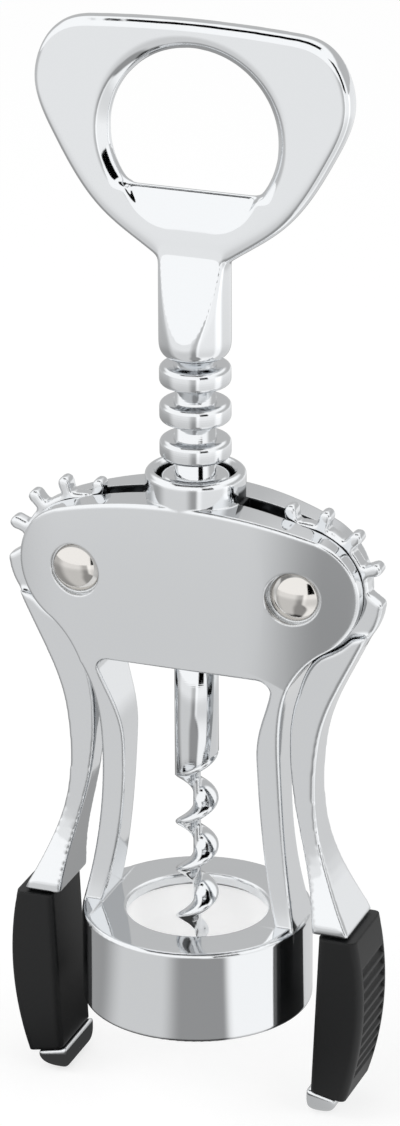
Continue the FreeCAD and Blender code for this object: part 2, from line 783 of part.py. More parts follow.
def hole_edges(grow):
    """D-shaped opening with its flat at the bottom, its arc widened by `grow`."""
    r = size("hole_dia / 2") + grow
    centre = at(0, size("hole_middle"))
    flat = size("hole_flat")
    half = math.sqrt(r * r - (centre.z - flat) ** 2)
    a = at(-half, flat)
    b = at(half, flat)
    return [arc(a, centre + at(0, r), b), line(b, a)]


def hole_bevel(way):
    """Bevel round the opening on one face."""
    y = size("head_deep / 2")
    b = size("hole_bevel")
    wires = []
    for grow, depth in ((0.0, y - b * 0.8), (b, y + 0.01)):
        wires.append(Part.Wire(hole_edges(grow)).translated(V(0, way * depth, 0)))
    return Part.makeLoft(wires, True, True)


def lip_ramp(way):
    """Shallow ramp that thins the lip below the flat of the hole."""
    y = size("head_deep / 2")
    thin = y - size("lip_thin")
    flat = size("hole_flat")
    low = flat - size("lip_drop")
    section = [(way * (y + 1), flat + 1), (way * thin, flat + 1), (way * thin, flat),
               (way * y, low), (way * (y + 1), low)]
    half = hole_edges(0)[1].Length / 2.0
    a = at(-half, flat)
    b = at(half, flat)
    up = at(0, 1)
    mask = [arc(a, at(0, low - 0.3), b), line(b, b + up), line(b + up, a + up), line(a + up, a)]
    return across(section, -half, half).common(slab(mask, 4 * y))


def neck():
    """Round neck with a facet on each face that runs up into the plate."""
    r = size("neck_radius")
    deep = size("head_deep / 2")
    base = size("neck_base")
    join = size("head_base") + 1.0
    solid = rod(2 * r, base, join + 1.5)
    foot = [e for e in solid.Edges if e.BoundBox.ZMax < base + 0.01]
    solid = solid.makeFillet(size("neck_round"), foot)
    for way in (-1, 1):
        facet = across([(way * deep, join), (way * (r + 0.05), base + 3), (way * (r + 3), base + 3),
                        (way * (r + 3), join + 6), (way * deep, join + 6)], -r - 1, r + 1)
        solid = solid.cut(facet)
    return solid


def opener_head():
    deep = size("head_deep")
    plate = slab(head_outline(), deep)
    rim = [e for e in plate.Edges if abs(abs(e.CenterOfMass.y) - deep / 2.0) < 1e-6
           and e.BoundBox.ZMax > size("head_base") + 1]
    body = plate.makeFillet(size("head_round"), rim).fuse(neck())
    cuts = [slab(hole_edges(0), deep + 2)]
    for way in (-1, 1):
        cuts.append(hole_bevel(way))
        cuts.append(lip_ramp(way))
    cuts.append(rod(size("sleeve_bore"), size("neck_base") - 1, size("spindle_top + running")))
    return body.cut(cuts)


# Assembly

def build():
    right = lever()
    cover = grip()
    parts = {
        "frame_casting": feature("frame_casting", frame_casting()),
        "bell_liner": bell_liner(),
        "pivot_rivet_left": rivet("pivot_rivet_left", -1),
        "pivot_rivet_right": rivet("pivot_rivet_right", 1),
        "lever_left": feature("lever_left", mirrored(right)),
        "lever_right": feature("lever_right", right),
        "grip_left": feature("grip_left", mirrored(cover)),
        "grip_right": feature("grip_right", cover),
        "rack_sleeve": rack_sleeve(),
        "screw": feature("screw", screw()),
        "opener_head": feature("opener_head", opener_head()),
    }
    return parts


def check(parts):
    for item in doc.Objects:
        state = item.State
        if "Invalid" in state or "Error" in state:
            raise RuntimeError("%s did not build: %s" % (item.Name, state))
    for name, item in parts.items():
        if item.Shape.isNull() or not item.Shape.isValid():
            raise RuntimeError("%s has no valid shape" % name)
        if len(item.Shape.Solids) != 1:
            raise RuntimeError("%s has %d solids" % (name, len(item.Shape.Solids)))


parts = build()
doc.recompute()
check(parts)
os.makedirs("parts", exist_ok=True)
for name, item in parts.items():
    item.Shape.exportStep("parts/%s.step" % name)
    print("%-20s %9.1f mm3" % (name, item.Shape.Volume))
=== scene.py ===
import math

import bmesh
import bpy
from mathutils import Matrix, Vector


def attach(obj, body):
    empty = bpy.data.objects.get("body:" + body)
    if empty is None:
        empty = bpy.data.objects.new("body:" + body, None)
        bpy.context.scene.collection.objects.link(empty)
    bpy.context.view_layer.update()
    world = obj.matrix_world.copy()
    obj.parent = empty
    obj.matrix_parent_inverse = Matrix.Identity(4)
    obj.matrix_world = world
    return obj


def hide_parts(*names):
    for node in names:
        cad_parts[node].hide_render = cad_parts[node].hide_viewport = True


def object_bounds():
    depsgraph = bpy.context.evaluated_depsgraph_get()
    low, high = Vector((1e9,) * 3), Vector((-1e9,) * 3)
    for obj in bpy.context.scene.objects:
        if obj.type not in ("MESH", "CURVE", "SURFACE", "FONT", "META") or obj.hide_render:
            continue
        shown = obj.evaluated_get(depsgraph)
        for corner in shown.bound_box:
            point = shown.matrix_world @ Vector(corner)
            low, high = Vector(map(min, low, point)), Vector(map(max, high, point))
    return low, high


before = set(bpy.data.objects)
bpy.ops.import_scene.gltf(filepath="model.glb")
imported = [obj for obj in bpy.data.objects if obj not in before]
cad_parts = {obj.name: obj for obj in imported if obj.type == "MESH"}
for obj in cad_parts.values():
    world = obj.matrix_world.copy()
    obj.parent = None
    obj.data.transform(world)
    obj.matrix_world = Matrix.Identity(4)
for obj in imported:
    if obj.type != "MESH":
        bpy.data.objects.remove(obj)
cad_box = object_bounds()

MM = 0.001

# Where the camera stands: millimetres, and degrees round the screw from the front.
CAMERA_AZIMUTH = 20.478
CAMERA_ELEVATION = 22.128
CAMERA_DISTANCE = 831.5
CAMERA_ROLL = -0.237
AIM_HEIGHT = 76.27
AIM_ASIDE = 0.63
LENS = 168.0
SENSOR = 36.0
NEAREST_SEEN = 50.0

# Soft lamps: name, degrees round and up, distance and side in metres, watts.
LAMPS = (
    ("key_light", -55, 50, 1.1, 0.6, 2.2),
    ("fill_light", 75, 35, 1.3, 0.8, 2.6),
    ("front_light", -8, 34, 1.2, 0.5, 1.6),
)

# Colours of the finishes.
CHROME = "#E6E8EA"
CHROMED_STEEL = "#E4E6E8"
# Dark grey of the painted shade inside the frame's slot and bore.
SLOT_SHADE_GREY = "#3A3C3E"
NICKEL = "#DEDBD7"
GRIP_BLACK = "#0E0F10"
LINER_WHITE = "#ECECEC"
# Painted glow of the liner, which lightens its shaded inside.
LINER_PAINTED_GLOW = "#F4F4F4"

# How rough the metals are, at their brightest and their haziest.
CHROME_HAZE = (0.045, 0.085)
NICKEL_HAZE = (0.07, 0.12)
# Roughness inside the slot and the bore, where shade is painted.
SLOT_SHADE_ROUGHNESS = 0.38

# Real sizes of the patterns in the finishes, in millimetres.
PEEL_SIZE = 6.0
HAZE_SIZE = 11.11
WIPE_SIZE = 1.111
TURNING_PITCH = 0.35
GRAIN_SIZE = 0.45
SWIRL_SIZE = 3.846
# How they stand out: strength, and depth in millimetres.
PEEL_RELIEF = (0.35, 0.02)
TURNING_RELIEF = (0.12, 0.01)
GRAIN_RELIEF = (0.25, 0.03)
SWIRL_RELIEF = (0.1, 0.02)
# Bands of a wave texture at scale 1 lie this far apart.
WAVE_AT_SCALE_ONE = 0.31

# How far light rolls round each kind of edge, in millimetres.
CASTING_EDGE = 0.45
HEAD_EDGE = 0.2
TURNED_EDGE = 0.25
GRIP_EDGE = 0.7
# Over what width the painted shade in the slot and the bore fades out: at the sides, then at
# the ends.
SLOT_SOFT, SLOT_END_SOFT = 0.02, 0.6
BORE_SOFT, BORE_END_SOFT = 0.05, 0.5

# Places taken from the solids, in millimetres.
PIVOT_X, PIVOT_Z = 18.25, 75.0
POCKET_FLOOR = 5.0
SLOT_HALF, SLOT_LOW, SLOT_HIGH = 1.78, 61.0, 89.5
BORE_RADIUS, BORE_HIGH = 6.2, 91.4
SHANK_RADIUS, SHANK_LOW, SHANK_TOP = 3.55, 41.6, 61.95
SPINDLE_RADIUS, SPINDLE_TOP = 2.3, 122.0
SLEEVE_RADIUS, SLEEVE_BORE, SLEEVE_LOW, SLEEVE_TOP = 3.25, 2.35, 62.0, 110.95
RING_RADIUS, RING_TOP, RING_PITCH, RINGS = 5.65, 108.25, 6.1, 8
WORM_LOW, WORM_HIGH, WORM_RADIUS, WORM_PITCH = 10.0, 43.6, 3.5, 8.4

# Shapes that only the visible pieces have, in millimetres.
RIVET_HEAD, RIVET_DOME, RIVET_EDGE, RIVET_SHANK = 4.0, 1.6, 0.3, 2.5
SHANK_CHAMFER = 0.15
# Rise of the shank's slanted lower end for each millimetre across.
SHANK_SLANT = 0.648
SLEEVE_CHAMFER = 0.3
RING_THICK, RING_ROUND = 3.25, 0.85
WORM_CORE = 0.62
# Height at which the blade points along +X.
WORM_ZERO = 9.82
WORM_POINT = 3.4
WORM_SHARPNESS = 3.2
# The buffing wheel: size of its grid, its bite, and how often it goes over each casting.
BUFF_GRID = 0.25
BUFF_BITE = 0.5
HEAD_PASSES = 66
LEVER_PASSES = 20

# How finely round shapes are divided.
TURNED_STEPS = 64
RIVET_STEPS = 12
RING_STEPS = 72
RING_EDGE_STEPS = 6
WORM_STEPS, WORM_LEVELS = 72, 230
# Square of the share of its width that the blade keeps at the very point.
WORM_POINT_LEAST = 0.0004

# Corners nearer than this are one corner, in metres.
JOINED = 1e-6
JOINED_FINE = 1e-7
# A face whose normal rises at least this much is level.
LEVEL = 0.99999

# Floor brightness that polished metal sees, as stops of (place, level): painted shade and
# light, darker near and under the object. Places are metres from the screw, or degrees round
# it from the front.
FLOOR_NEAR = 0.72
FLOOR_OUTWARD = ((0.200, FLOOR_NEAR), (0.480, 0.96))
# Painted shadow right under the object.
FLOOR_PAINTED_SHADOW = ((0.0225, 0.12 - FLOOR_NEAR), (0.045, 0.0))
FLOOR_CLOSE = ((0.080, 1.0), (0.170, 0.0))
LENS_SHADE = ((-5, 0.0), (14, 0.38))
LENS_SHADE_END = ((19, 1.0), (26, 0.0))
# Painted light to the right, painted shade to the left and at the side.
RIGHT_GLOW = ((20, 0.0), (30, 0.4))
RIGHT_GLOW_END = ((104, 1.0), (120, 0.0))
LEFT_SHADE = ((-78, -0.36), (-48, 0.0))
SIDE_SHADE, SIDE_SHADE_DEPTH = (38, 80, 14), 0.28
# Close to the object the lens shade lies this many degrees further round.
SHADE_LEFT_TURN, SHADE_RIGHT_TURN = 7.0, 22.0
FLOOR_DARKEST = 0.05

# Floor colours and glow for the eye and for plain surfaces.
FLOOR_TO_EYE, FLOOR_GLOW = "#9E9E9E", 0.72
FLOOR_TO_PLAIN = "#E2E2E2"
# Its side in metres, and how far it lies under the levers' tips, in millimetres.
FLOOR_SIZE = 12
FLOOR_DROP = 0.2

# Room brightness that polished metal sees: a dark strip overhead and a dark stand to
# the right of the lens. X, Y and Z are parts of a direction; (low, high, soft) is the
# span that a dark part covers.
WALL_FRONT = 1.16
WALL_BEHIND = ((0.42, 0.56), (0.60, WALL_FRONT))
FRONT_HALF = ((-0.15, 1.0), (0.30, 0.0))
OVERHEAD_X = (-0.40, 0.34, 0.05)
OVERHEAD_Y = (-0.37, 0.32, 0.03)
OVERHEAD_Z = ((0.5, 0.0), (0.6, 1.0))
STAND_ROUND = (36, 60, 2.0)
STAND_TOP = ((0.52, 1.0), (0.58, 0.0))
# What all other surfaces get from the room.
PLAIN_LIGHT = 0.66
WHITE = (1.0, 1.0, 1.0, 1.0)


# Nodes


def linear(text):
    """sRGB hex to the linear colour that a shader reads."""
    channels = [int(text[i:i + 2], 16) / 255 for i in (1, 3, 5)]
    low = [c / 12.92 for c in channels]
    high = [((c + 0.055) / 1.055) ** 2.4 for c in channels]
    return [a if c <= 0.04045 else b for c, a, b in zip(channels, low, high)] + [1.0]


def add(tree, kind, inputs=None, **settings):
    """Adds a node. An input gets a socket to link or a value to hold."""
    node = tree.nodes.new(kind)
    for name, value in settings.items():
        setattr(node, name, value)
    for key, value in (inputs or {}).items():
        if isinstance(value, bpy.types.NodeSocket):
            tree.links.new(value, node.inputs[key])
        else:
            node.inputs[key].default_value = value
    return node


def formula(tree, term):
    """Works out (operation, term, ...), where a term is a socket, number or formula."""
    if not isinstance(term, tuple):
        return term
    operation, *terms = term
    inputs = {k: formula(tree, part) for k, part in enumerate(terms)}
    return add(tree, "ShaderNodeMath", inputs, operation=operation).outputs[0]


def fade(tree, value, *stops):
    """Level that goes softly from stop to stop, each a (value, level)."""
    level = None
    for (low, at_low), (high, at_high) in zip(stops, stops[1:]):
        if at_low == at_high:
            continue
        start = at_low if level is None else 0.0
        step = add(tree, "ShaderNodeMapRange",
                   {"Value": value, 1: low, 2: high, 3: start, 4: start + at_high - at_low},
                   interpolation_type="SMOOTHSTEP").outputs[0]
        level = step if level is None else formula(tree, ("ADD", level, step))
    return level


def between(low, high, soft):
    """Stops of a fade that is 1 from low to high and 0 beyond them."""
    return (low - soft, 0.0), (low, 1.0), (high, 1.0), (high + soft, 0.0)


def out_from_screw(tree, x, y):
    """Distance from the screw's axis."""
    return formula(tree, ("SQRT", ("ADD", ("MULTIPLY", x, x), ("MULTIPLY", y, y))))


def round_screw(tree, x, y):
    """Degrees round the screw's axis from the front, more to the right."""
    turn = ("ARCTAN2", x, ("MULTIPLY", y, -1.0))
    return formula(tree, ("MULTIPLY", turn, 180 / math.pi))


# Finishes


def new_material(name, finish):
    """New material, with its tree, its principled shader and its place on the object."""
    material = bpy.data.materials.new(name)
    material.use_nodes = True
    tree = material.node_tree
    tree.nodes.clear()
    shader = add(tree, "ShaderNodeBsdfPrincipled", finish)
    add(tree, "ShaderNodeOutputMaterial", {"Surface": shader.outputs[0]})
    place = add(tree, "ShaderNodeTexCoord").outputs["Object"]
    return material, tree, shader, place


def stand_out(tree, shader, marks, how, edge=0.0, samples=4):
    """Lets marks stand out on a surface whose edges light rolls round."""
    strength, depth = how
    relief = add(tree, "ShaderNodeBump",
                 {"Height": marks, "Strength": strength, "Distance": depth * MM})
    if edge:
        rolled = add(tree, "ShaderNodeBevel", {"Radius": edge * MM}, samples=samples)
        tree.links.new(rolled.outputs[0], relief.inputs["Normal"])
    tree.links.new(relief.outputs[0], shader.inputs["Normal"])


def hazy(tree, place, size, detail, least, most):
    """Roughness that drifts between two values in patches of one size."""
    patches = add(tree, "ShaderNodeTexNoise",
                  {"Vector": place, "Scale": 1 / (size * MM), "Detail": detail})
    return add(tree, "ShaderNodeMapRange",
               {"Value": patches.outputs["Fac"], 3: least, 4: most}).outputs[0]


def chrome(name, edge, shade_mask=None):
    """Bright chrome on a zinc die casting: a mirror with a faint orange peel."""
    material, tree, shader, place = new_material(name, {
        "Base Color": linear(CHROME), "Metallic": 1.0, "Roughness": sum(CHROME_HAZE) / 2})
    peel = add(tree, "ShaderNodeTexNoise", {
        "Vector": place, "Scale": 1 / (PEEL_SIZE * MM), "Detail": 1.0, "Roughness": 0.4})
    stand_out(tree, shader, peel.outputs["Fac"], PEEL_RELIEF, edge, samples=6)
    rough = hazy(tree, place, HAZE_SIZE, 3.0, *CHROME_HAZE)
    # Painted shade: inside the slot and the bore the chrome turns dark dull grey.
    if shade_mask:
        shaded = shade_mask(tree, place)
        colour = add(tree, "ShaderNodeMix",
                     {"Factor": shaded, 6: linear(CHROME), 7: linear(SLOT_SHADE_GREY)},
                     data_type="RGBA")
        tree.links.new(colour.outputs[2], shader.inputs["Base Color"])
        rough = add(tree, "ShaderNodeMix",
                    {"Factor": shaded, 2: rough, 3: SLOT_SHADE_ROUGHNESS}).outputs[0]
    tree.links.new(rough, shader.inputs["Roughness"])
    return material


def slot_and_bore(tree, place):
    """1 in the slot between the cheeks and in the guide bore, where shade is painted, 0
    elsewhere.
    """
    x, y, z = add(tree, "ShaderNodeSeparateXYZ", {"Vector": place}).outputs
    slot_side = fade(tree, formula(tree, ("ABSOLUTE", y)),
                     (SLOT_HALF * MM, 1.0), ((SLOT_HALF + SLOT_SOFT) * MM, 0.0))
    slot_height = fade(tree, z, *between(SLOT_LOW * MM, SLOT_HIGH * MM, SLOT_END_SOFT * MM))
    bore_side = fade(tree, out_from_screw(tree, x, y),
                     (BORE_RADIUS * MM, 1.0), ((BORE_RADIUS + BORE_SOFT) * MM, 0.0))
    bore_height = fade(tree, z, *between(SLOT_LOW * MM, BORE_HIGH * MM, BORE_END_SOFT * MM))
    return formula(tree, ("MAXIMUM", ("MULTIPLY", slot_side, slot_height),
                          ("MULTIPLY", bore_side, bore_height)))


def chrome_on_levers():
    """Chrome on the cast levers: bright, with edges as the die leaves them."""
    return chrome("chrome_on_zinc_casting", CASTING_EDGE)


def chrome_on_head():
    """The same chrome on the opener head, whose edges are buffed rounder."""
    return chrome("chrome_on_buffed_head", HEAD_EDGE)


def chrome_on_frame():
    """The same chrome on the frame, with painted shade inside the slot and the bore: dark dull
    grey there.
    """
    return chrome("chrome_on_slotted_casting", CASTING_EDGE, slot_and_bore)


def chrome_on_turned_steel():
    """Chrome on turned steel: a mirror where the lathe's fine rings still show."""
    material, tree, shader, place = new_material("chrome_on_turned_steel", {
        "Base Color": linear(CHROMED_STEEL), "Metallic": 1.0, "Roughness": 0.07})
    rings = add(tree, "ShaderNodeTexWave", {
        "Vector": place, "Scale": WAVE_AT_SCALE_ONE / (TURNING_PITCH * MM), "Distortion": 0.4},
        wave_type="BANDS", bands_direction="Z")
    stand_out(tree, shader, rings.outputs["Fac"], TURNING_RELIEF, TURNED_EDGE)
    return material


def polished_nickel():
    """Polished nickel on steel rivets: a little warmer and duller than chrome."""
    material, tree, shader, place = new_material("polished_nickel", {
        "Base Color": linear(NICKEL), "Metallic": 1.0, "Roughness": sum(NICKEL_HAZE) / 2})
    rough = hazy(tree, place, WIPE_SIZE, 2.0, *NICKEL_HAZE)
    tree.links.new(rough, shader.inputs["Roughness"])
    return material


def black_moulded_grip():
    """Moulded thermoplastic rubber: satin black, with a fine leathery grain."""
    material, tree, shader, place = new_material("black_moulded_rubber", {
        "Base Color": linear(GRIP_BLACK), "Roughness": 0.5, "IOR": 1.45})
    grain = add(tree, "ShaderNodeTexVoronoi",
                {"Vector": place, "Scale": 1 / (GRAIN_SIZE * MM)})
    stand_out(tree, shader, grain.outputs["Distance"], GRAIN_RELIEF, GRIP_EDGE)
    return material


def white_moulded_liner():
    """Moulded polypropylene: soft gloss, with a painted glow that keeps it pale inside."""
    material, tree, shader, place = new_material("white_polypropylene", {
        "Base Color": linear(LINER_WHITE), "Roughness": 0.28, "IOR": 1.49,
        "Subsurface Weight": 0.15, "Subsurface Radius": (MM, MM, MM),
        "Subsurface Scale": 0.5, "Emission Color": linear(LINER_PAINTED_GLOW),
        "Emission Strength": 0.30})
    swirl = add(tree, "ShaderNodeTexNoise",
                {"Vector": place, "Scale": 1 / (SWIRL_SIZE * MM), "Detail": 2.0})
    stand_out(tree, shader, swirl.outputs["Fac"], SWIRL_RELIEF)
    return material


FINISH_OF = {
    "frame_casting": chrome_on_frame,
    "lever_left": chrome_on_levers, "lever_right": chrome_on_levers,
    "opener_head": chrome_on_head,
    "rack_sleeve": chrome_on_turned_steel, "screw": chrome_on_turned_steel,
    "pivot_rivet_left": polished_nickel, "pivot_rivet_right": polished_nickel,
    "grip_left": black_moulded_grip, "grip_right": black_moulded_grip,
    "bell_liner": white_moulded_liner,
}


def dress_nodes():
    """Gives every solid its finish; each finish is made once."""
    made = {}
    for name, finish in FINISH_OF.items():
        if finish not in made:
            made[finish] = finish()
        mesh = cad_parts[name].data
        mesh.materials.clear()
        mesh.materials.append(made[finish])


def finish_on(node):
    """Finish that a dressed solid has."""
    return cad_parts[node].data.materials[0]


# Pieces made here


def new_piece(name, mesh, node, body):
    """Links a finished mesh in place of a node and lets it ride on its body."""
    for polygon in mesh.polygons:
        polygon.use_smooth = True
    mesh.materials.clear()
    mesh.materials.append(finish_on(node))
    piece = bpy.data.objects.new(name, mesh)
    bpy.context.scene.collection.objects.link(piece)
    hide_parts(node)
    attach(piece, body)


def finished_mesh(bm, name):
    """Mesh of a worked shape, with its faces outwards."""
    bmesh.ops.recalc_face_normals(bm, faces=bm.faces)
    mesh = bpy.data.meshes.new(name)
    bm.to_mesh(mesh)
    bm.free()
    return mesh


def carried_out(carrier):
    """Plain mesh of an object with its modifiers carried out; the object goes."""
    graph = bpy.context.evaluated_depsgraph_get()
    mesh = bpy.data.meshes.new_from_object(
        carrier.evaluated_get(graph), preserve_all_data_layers=True, depsgraph=graph)
    carrier.modifiers.clear()
    bpy.data.objects.remove(carrier)
    return mesh


def polished_frame():
    """Joined copy of the frame whose level faces reflect flat right up to their edges."""
    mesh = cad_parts["frame_casting"].data.copy()
    facing = mesh.attributes.new("facing", "FLOAT_VECTOR", "CORNER").data
    for way, corner in zip(facing, mesh.corner_normals):
        way.vector = corner.vector
    for polygon in mesh.polygons:
        if polygon.normal.z > LEVEL:
            for corner in polygon.loop_indices:
                facing[corner].vector = (0.0, 0.0, 1.0)
    bm = bmesh.new()
    bm.from_mesh(mesh)
    bmesh.ops.remove_doubles(bm, verts=bm.verts, dist=JOINED)
    bm.to_mesh(mesh)
    bm.free()
    mesh.shade_smooth()
    ways = [tuple(way.vector) for way in mesh.attributes["facing"].data]
    mesh.attributes.remove(mesh.attributes["facing"])
    mesh.normals_split_custom_set(ways)
    new_piece("polished_frame", mesh, "frame_casting", "frame")


def buffed(name, node, body, passes):
    """Copy of a casting as it leaves the buffing wheel: every edge a little rounder."""
    bm = bmesh.new()
    bm.from_mesh(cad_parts[node].data)
    bmesh.ops.remove_doubles(bm, verts=bm.verts, dist=JOINED)
    rough = bpy.data.objects.new(name + "_rough", finished_mesh(bm, name + "_rough"))
    bpy.context.scene.collection.objects.link(rough)
    skin = rough.modifiers.new("skin", "REMESH")
    skin.mode = "VOXEL"
    skin.voxel_size = BUFF_GRID * MM
    wheel = rough.modifiers.new("wheel", "SMOOTH")
    wheel.factor = BUFF_BITE
    wheel.iterations = passes
    new_piece(name, carried_out(rough), node, body)


def turned_shape(bm, profile, lay):
    """Turns a profile of (radius, height) pairs round the axis that lay puts in place."""
    rings = []
    for radius, height in profile:
        if radius == 0:
            rings.append([bm.verts.new(lay @ Vector((0, 0, height * MM)))])
            continue
        ring = []
        for k in range(TURNED_STEPS):
            t = 2 * math.pi * k / TURNED_STEPS
            spot = Vector((radius * math.cos(t), radius * math.sin(t), height)) * MM
            ring.append(bm.verts.new(lay @ spot))
        rings.append(ring)
    for low, high in zip(rings, rings[1:]):
        for k in range(TURNED_STEPS):
            n = (k + 1) % TURNED_STEPS
            corners = [low[k % len(low)], low[n % len(low)],
                       high[n % len(high)], high[k % len(high)]]
            bm.faces.new(list(dict.fromkeys(corners)))
    return rings


def rivet(side, way):
    """Rivet set at both ends: oval heads that fill their pockets."""
    ball = (RIVET_HEAD ** 2 + RIVET_DOME ** 2) / (2 * RIVET_DOME)
    lean = math.asin(RIVET_HEAD / ball)
    crown = POCKET_FLOOR + RIVET_EDGE + RIVET_DOME
    turns = [lean * k / RIVET_STEPS for k in range(1, RIVET_STEPS + 1)]
    head = [(0, crown)]
    head += [(ball * math.sin(t), crown - ball * (1 - math.cos(t))) for t in turns]
    head.append((RIVET_HEAD, POCKET_FLOOR))
    shank = [(RIVET_SHANK, POCKET_FLOOR), (RIVET_SHANK, -POCKET_FLOOR)]
    profile = head + shank + [(radius, -height) for radius, height in reversed(head)]
    pivot = Matrix.Translation((way * PIVOT_X * MM, 0, PIVOT_Z * MM))
    bm = bmesh.new()
    turned_shape(bm, profile, pivot @ Matrix.Rotation(math.pi / 2, 4, "X"))
    new_piece("oval_rivet_" + side, finished_mesh(bm, "oval_rivet_" + side),
              "pivot_rivet_" + side, "frame")


def named_tree(name, sizes):
    """Geometry tree with a named input for each size and one for the finish."""
    tree = bpy.data.node_groups.new(name, "GeometryNodeTree")
    face = tree.interface
    for label, value in sizes:
        socket = face.new_socket(label, in_out="INPUT", socket_type="NodeSocketFloat")
        socket.default_value = value
    face.new_socket("Finish", in_out="INPUT", socket_type="NodeSocketMaterial")
    face.new_socket("Geometry", in_out="OUTPUT", socket_type="NodeSocketGeometry")
    return tree, add(tree, "NodeGroupInput").outputs[:len(sizes) + 1]


def closed_tree(tree, shape, finish):
    """Ends a tree: what it made becomes real and takes its finish."""
    real = add(tree, "GeometryNodeRealizeInstances", {0: shape})
    dressed = add(tree, "GeometryNodeSetMaterial",
                  {"Geometry": real.outputs[0], "Material": finish})
    add(tree, "NodeGroupOutput", {0: dressed.outputs[0]})
    return tree


def grown_mesh(name, tree, finish):
    """Plain mesh of what a geometry tree makes."""
    carrier = bpy.data.objects.new(name, bpy.data.meshes.new(name))
    bpy.context.scene.collection.objects.link(carrier)
    modifier = carrier.modifiers.new(name, "NODES")
    modifier.node_group = tree
    for socket in tree.interface.items_tree:
        if socket.name == "Finish":
            modifier[socket.identifier] = finish
    return carried_out(carrier)


def blade_tree():
    """Blade wound round a thin core: its section turns as it climbs."""
    tree, given = named_tree("wound_blade", [
        ("Low", WORM_LOW * MM), ("High", WORM_HIGH * MM), ("Tip radius", WORM_RADIUS * MM),
        ("Core radius", WORM_CORE * MM), ("Pitch", WORM_PITCH * MM),
        ("Zero height", WORM_ZERO * MM), ("Point length", WORM_POINT * MM),
        ("Sharpness", WORM_SHARPNESS)])
    low, high, tip, core, pitch, zero, point, sharpness, finish = given
    tube = add(tree, "GeometryNodeMeshCylinder",
               {"Vertices": WORM_STEPS, "Side Segments": WORM_LEVELS,
                "Radius": 1.0, "Depth": 1.0},
               fill_type="TRIANGLE_FAN")
    spot = add(tree, "GeometryNodeInputPosition").outputs[0]
    x, y, z = add(tree, "ShaderNodeSeparateXYZ", {0: spot}).outputs
    height = formula(tree, ("ADD", low, ("MULTIPLY", ("ADD", z, 0.5),
                                         ("SUBTRACT", high, low))))
    wound = ("MULTIPLY", ("DIVIDE", ("SUBTRACT", height, zero), pitch), 2 * math.pi)
    away = ("SUBTRACT", ("ARCTAN2", y, x), wound)
    crest = ("POWER", ("MULTIPLY", ("ADD", ("COSINE", away), 1.0), 0.5), sharpness)
    along_point = ("MINIMUM", ("DIVIDE", ("SUBTRACT", height, low), point), 1.0)
    fullness = ("SQRT", ("MAXIMUM", along_point, WORM_POINT_LEAST))
    section = ("ADD", core, ("MULTIPLY", crest, ("SUBTRACT", tip, core)))
    radius = formula(tree, ("MULTIPLY", section, fullness))
    skin = add(tree, "ShaderNodeCombineXYZ", {0: formula(tree, ("MULTIPLY", x, radius)),
                                              1: formula(tree, ("MULTIPLY", y, radius)),
                                              2: height})
    blade = add(tree, "GeometryNodeSetPosition",
                {"Geometry": tube.outputs["Mesh"], "Position": skin.outputs[0]})
    return closed_tree(tree, blade.outputs[0], finish)


def rings_tree():
    """Rack rings: a rounded section swept round a circle, repeated down the sleeve."""
    tree, given = named_tree("rack_rings", [
        ("Outer radius", RING_RADIUS * MM),
        ("Inner radius", (SLEEVE_RADIUS - SLEEVE_CHAMFER) * MM),
        ("Thickness", RING_THICK * MM), ("Edge", RING_ROUND * MM),
        ("Top", RING_TOP * MM), ("Pitch", RING_PITCH * MM)])
    outer, inner, thick, edge, top, pitch, finish = given
    section = add(tree, "GeometryNodeCurvePrimitiveQuadrilateral",
                  {"Width": formula(tree, ("SUBTRACT", outer, inner)), "Height": thick})
    rounded = add(tree, "GeometryNodeFilletCurve", {
        "Curve": section.outputs[0], "Radius": edge, "Count": RING_EDGE_STEPS}, mode="POLY")
    middle = formula(tree, ("MULTIPLY", ("ADD", outer, inner), 0.5))
    circle = add(tree, "GeometryNodeCurvePrimitiveCircle",
                 {"Radius": middle, "Resolution": RING_STEPS})
    ring = add(tree, "GeometryNodeCurveToMesh",
               {"Curve": circle.outputs[0], "Profile Curve": rounded.outputs[0]})
    start = add(tree, "ShaderNodeCombineXYZ", {2: top})
    step = add(tree, "ShaderNodeCombineXYZ", {2: formula(tree, ("MULTIPLY", pitch, -1.0))})
    line = add(tree, "GeometryNodeMeshLine", {
        "Count": RINGS, "Start Location": start.outputs[0], "Offset": step.outputs[0]})
    rings = add(tree, "GeometryNodeInstanceOnPoints",
                {"Points": line.outputs[0], "Instance": ring.outputs[0]})
    return closed_tree(tree, rings.outputs[0], finish)


def rack():
    """Turned sleeve whose rings the lever teeth push on."""
    bm = bmesh.new()
    bm.from_mesh(grown_mesh("rack_rings", rings_tree(), finish_on("rack_sleeve")))
    outline = [(SLEEVE_BORE, SLEEVE_LOW), (SLEEVE_RADIUS - SLEEVE_CHAMFER, SLEEVE_LOW),
               (SLEEVE_RADIUS, SLEEVE_LOW + SLEEVE_CHAMFER), (SLEEVE_RADIUS, SLEEVE_TOP),
               (SLEEVE_BORE, SLEEVE_TOP)]
    turned_shape(bm, outline + outline[:1], Matrix())
    bmesh.ops.remove_doubles(bm, verts=bm.verts, dist=JOINED_FINE)
    new_piece("ringed_sleeve", finished_mesh(bm, "ringed_sleeve"),
              "rack_sleeve", "rack")


